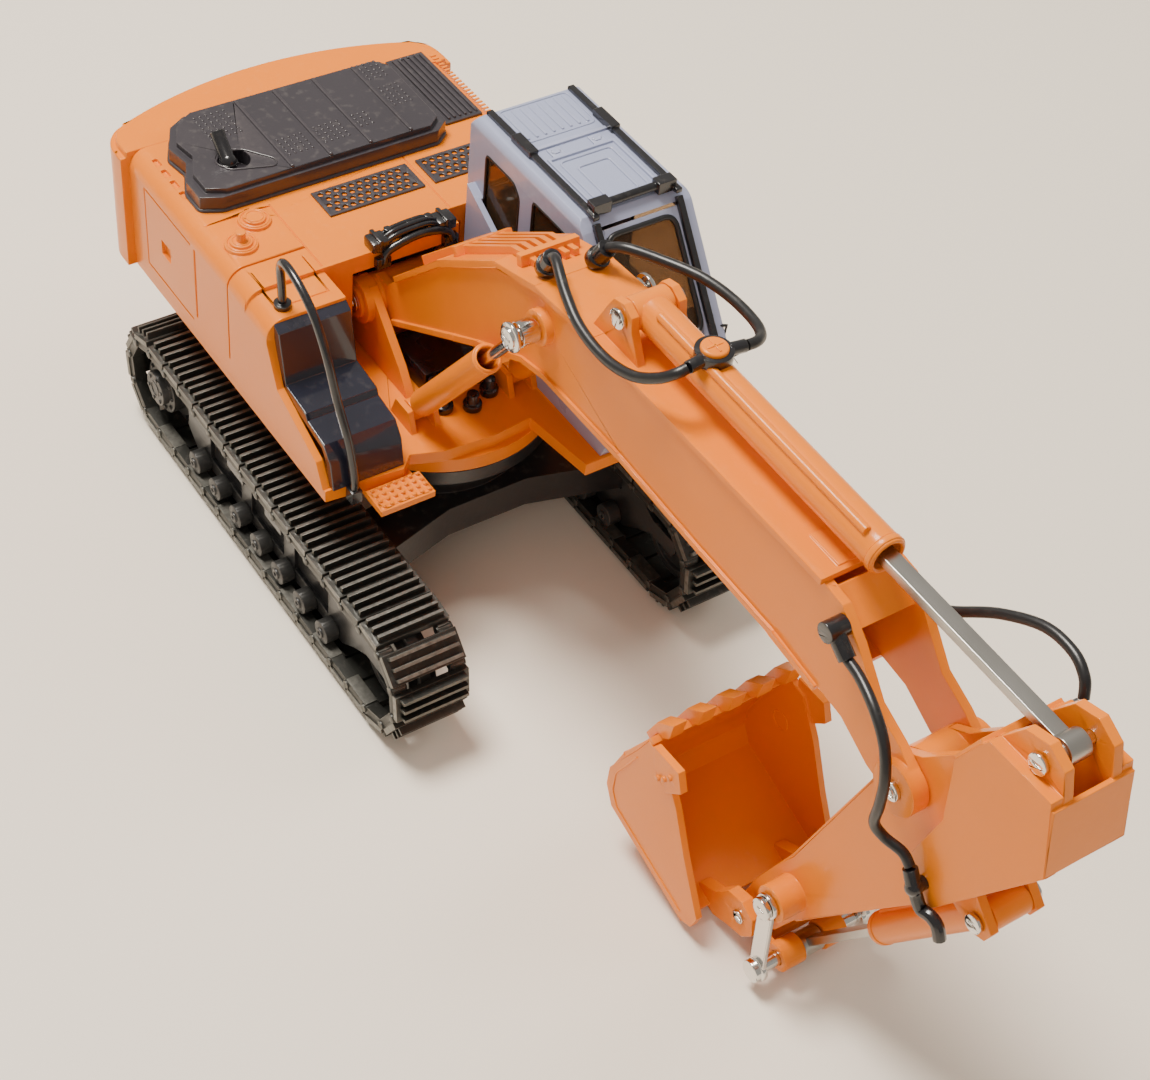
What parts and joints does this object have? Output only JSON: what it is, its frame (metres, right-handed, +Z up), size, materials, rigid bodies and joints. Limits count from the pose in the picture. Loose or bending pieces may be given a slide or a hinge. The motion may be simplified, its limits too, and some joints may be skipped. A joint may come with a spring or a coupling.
{
  "type": "remote control excavator",
  "caption": "Crawler excavator model with a slewing cab body, three-cylinder boom, arm and bucket, linked bucket gear and chain tracks.",
  "frame": {"origin": "on the ground, under the slew axis, midway between the two tracks", "axes": "+X forward along the boom, +Y to the machine's left (cab side), +Z up"},
  "size_m": [0.2229, 0.0734, 0.0939],
  "materials": {
    "orange_paint": "gloss",
    "black_paint": "satin",
    "black_plastic": "gloss",
    "smoked_plastic": "satin",
    "grey_plastic": "gloss",
    "smoked_glass": "gloss",
    "chain_metal": "satin",
    "steel": "polished",
    "rubber": "satin",
    "battery_wrap": "gloss",
    "circuit_board": "satin",
    "dark_plastic": "matt"
  },
  "bodies": {
    "undercarriage": {"carbody": "black_paint", "side_frames": "black_paint", "track_rollers": "chain_metal", "slew_ring": "steel", "travel_motors": "chain_metal", "chain_right": "chain_metal", "chain_left": "chain_metal"},
    "sprocket_r": {"sprocket_right": "chain_metal"},
    "sprocket_l": {"sprocket_left": "chain_metal"},
    "idler_r": {"idler_right": "chain_metal"},
    "idler_l": {"idler_left": "chain_metal"},
    "upper": {"deck_plate": "orange_paint", "engine_housing": "orange_paint", "counterweight": "orange_paint", "hood_cover": "smoked_plastic", "exhaust": "black_plastic", "grilles": "smoked_plastic", "tank_cover": "smoked_plastic", "step_plate": "orange_paint", "handrail": "black_plastic", "foot_brackets": "orange_paint", "foot_pin": "steel", "valve_block": "black_plastic", "cab_shell": "grey_plastic", "cab_glass": "smoked_glass", "cab_rails": "black_plastic", "marker_lamp": "orange_paint", "cab_seat": "dark_plastic", "battery_pack": "battery_wrap", "receiver_board": "circuit_board", "slew_motor": "steel"},
    "pinion": {"slew_pinion": "steel"},
    "switch": {"power_switch": "black_plastic"},
    "boom": {"boom_shell": "orange_paint", "boom_pipes": "orange_paint", "hose_plugs": "black_plastic", "lift_screws": "steel", "arm_hinge_pin": "steel", "hose_loop": "rubber", "hose_right": "rubber", "hose_left": "rubber"},
    "lift_cylinder_r": {"lift_barrel_right": "orange_paint"},
    "lift_cylinder_l": {"lift_barrel_left": "orange_paint"},
    "lift_piston_r": {"lift_rod_right": "steel"},
    "lift_piston_l": {"lift_rod_left": "steel"},
    "arm_cylinder": {"arm_barrel": "orange_paint", "hose_clip": "black_plastic"},
    "arm_piston": {"arm_rod": "steel"},
    "arm": {"arm_shell": "orange_paint", "arm_pins": "steel", "hose_elbow": "black_plastic"},
    "bucket_cylinder": {"bucket_barrel": "orange_paint"},
    "guide": {"guide_links": "steel"},
    "bucket_piston": {"bucket_rod": "steel"},
    "link": {"power_link": "orange_paint"},
    "bucket": {"bucket_shell": "orange_paint", "bucket_teeth": "orange_paint", "bucket_pins": "steel"}
  },
  "joints": [
    {"name": "slew", "type": "hinge", "parent": "undercarriage", "child": "upper", "pos_m": [0, 0, 0.03], "axis": [0, 0, 1], "continuous": true},
    {"name": "slew_pinion_spin", "type": "hinge", "parent": "upper", "child": "pinion", "pos_m": [-0.016, 0, 0.03], "axis": [0, 0, 1], "continuous": true},
    {"name": "power_switch_slide", "type": "slide", "parent": "upper", "child": "switch", "axis": [0, 1, 0], "range_m": [0, 0.002]},
    {"name": "sprocket_right_spin", "type": "hinge", "parent": "undercarriage", "child": "sprocket_r", "pos_m": [-0.04, -0.0295, 0.012], "axis": [0, 1, 0], "continuous": true},
    {"name": "sprocket_left_spin", "type": "hinge", "parent": "undercarriage", "child": "sprocket_l", "pos_m": [-0.04, 0.0295, 0.012], "axis": [0, 1, 0], "continuous": true},
    {"name": "idler_right_spin", "type": "hinge", "parent": "undercarriage", "child": "idler_r", "pos_m": [0.04, -0.0295, 0.012], "axis": [0, 1, 0], "continuous": true},
    {"name": "idler_left_spin", "type": "hinge", "parent": "undercarriage", "child": "idler_l", "pos_m": [0.04, 0.0295, 0.012], "axis": [0, 1, 0], "continuous": true},
    {"name": "boom_lift", "type": "hinge", "parent": "upper", "child": "boom", "pos_m": [-0.0095, 0, 0.046], "axis": [0, -1, 0], "range_deg": [-8, 20]},
    {"name": "lift_cylinder_right_swing", "type": "hinge", "parent": "upper", "child": "lift_cylinder_r", "pos_m": [0.0105, -0.0099, 0.0368], "axis": [0, -1, 0], "range_deg": [-10, 22]},
    {"name": "lift_cylinder_left_swing", "type": "hinge", "parent": "upper", "child": "lift_cylinder_l", "pos_m": [0.0105, 0.0099, 0.0368], "axis": [0, -1, 0], "range_deg": [-10, 22]},
    {"name": "lift_rod_right_swing", "type": "hinge", "parent": "boom", "child": "lift_piston_r", "pos_m": [0.0405, -0.0099, 0.0765], "axis": [0, -1, 0], "range_deg": [-1, 1.5]},
    {"name": "lift_rod_left_swing", "type": "hinge", "parent": "boom", "child": "lift_piston_l", "pos_m": [0.0405, 0.0099, 0.0765], "axis": [0, -1, 0], "range_deg": [-1, 1.5]},
    {"name": "arm_swing", "type": "hinge", "parent": "boom", "child": "arm", "pos_m": [0.1302, 0, 0.0637], "axis": [0, -1, 0], "range_deg": [-8, 35], "deforming": ["hose_right", "hose_left"]},
    {"name": "arm_cylinder_swing", "type": "hinge", "parent": "boom", "child": "arm_cylinder", "pos_m": [0.0566, 0, 0.0894], "axis": [0, -1, 0], "range_deg": [-2, 6], "deforming": ["hose_loop"]},
    {"name": "arm_rod_swing", "type": "hinge", "parent": "arm", "child": "arm_piston", "pos_m": [0.1483, 0, 0.0875], "axis": [0, -1, 0], "range_deg": [-31, 8]},
    {"name": "bucket_curl", "type": "hinge", "parent": "arm", "child": "bucket", "pos_m": [0.109, 0, 0.008], "axis": [0, -1, 0], "range_deg": [0, 60]},
    {"name": "guide_link_swing", "type": "hinge", "parent": "arm", "child": "guide", "pos_m": [0.1155, 0, 0.02], "axis": [0, -1, 0], "range_deg": [-1, 19]},
    {"name": "power_link_swing", "type": "hinge", "parent": "guide", "child": "link", "pos_m": [0.1165, 0, 0.0045], "axis": [0, -1, 0], "range_deg": [-2, 1]},
    {"name": "bucket_cylinder_swing", "type": "hinge", "parent": "arm", "child": "bucket_cylinder", "pos_m": [0.1475, 0, 0.0525], "axis": [0, -1, 0], "range_deg": [-1, 5]},
    {"name": "bucket_rod_swing", "type": "hinge", "parent": "guide", "child": "bucket_piston", "pos_m": [0.1165, 0, 0.0045], "axis": [0, -1, 0], "range_deg": [-16, 1]}
  ],
  "couplings": [
    {"joint": "slew_pinion_spin", "follows": "slew", "ratio": 4.3333},
    {"joint": "idler_right_spin", "follows": "sprocket_right_spin", "ratio": 1},
    {"joint": "idler_left_spin", "follows": "sprocket_left_spin", "ratio": 1},
    {"joint": "lift_cylinder_right_swing", "follows": "boom_lift", "ratio": 1.0389},
    {"joint": "lift_cylinder_left_swing", "follows": "boom_lift", "ratio": 1.0389},
    {"joint": "lift_rod_right_swing", "follows": "boom_lift", "ratio": 0.0389},
    {"joint": "lift_rod_left_swing", "follows": "boom_lift", "ratio": 0.0389},
    {"joint": "arm_cylinder_swing", "follows": "arm_swing", "ratio": 0.1447},
    {"joint": "arm_rod_swing", "follows": "arm_swing", "ratio": -0.8553},
    {"joint": "guide_link_swing", "follows": "bucket_curl", "ratio": 0.3006},
    {"joint": "power_link_swing", "follows": "bucket_curl", "ratio": -0.0133},
    {"joint": "bucket_cylinder_swing", "follows": "bucket_curl", "ratio": 0.0618},
    {"joint": "bucket_rod_swing", "follows": "bucket_curl", "ratio": -0.2388}
  ]
}
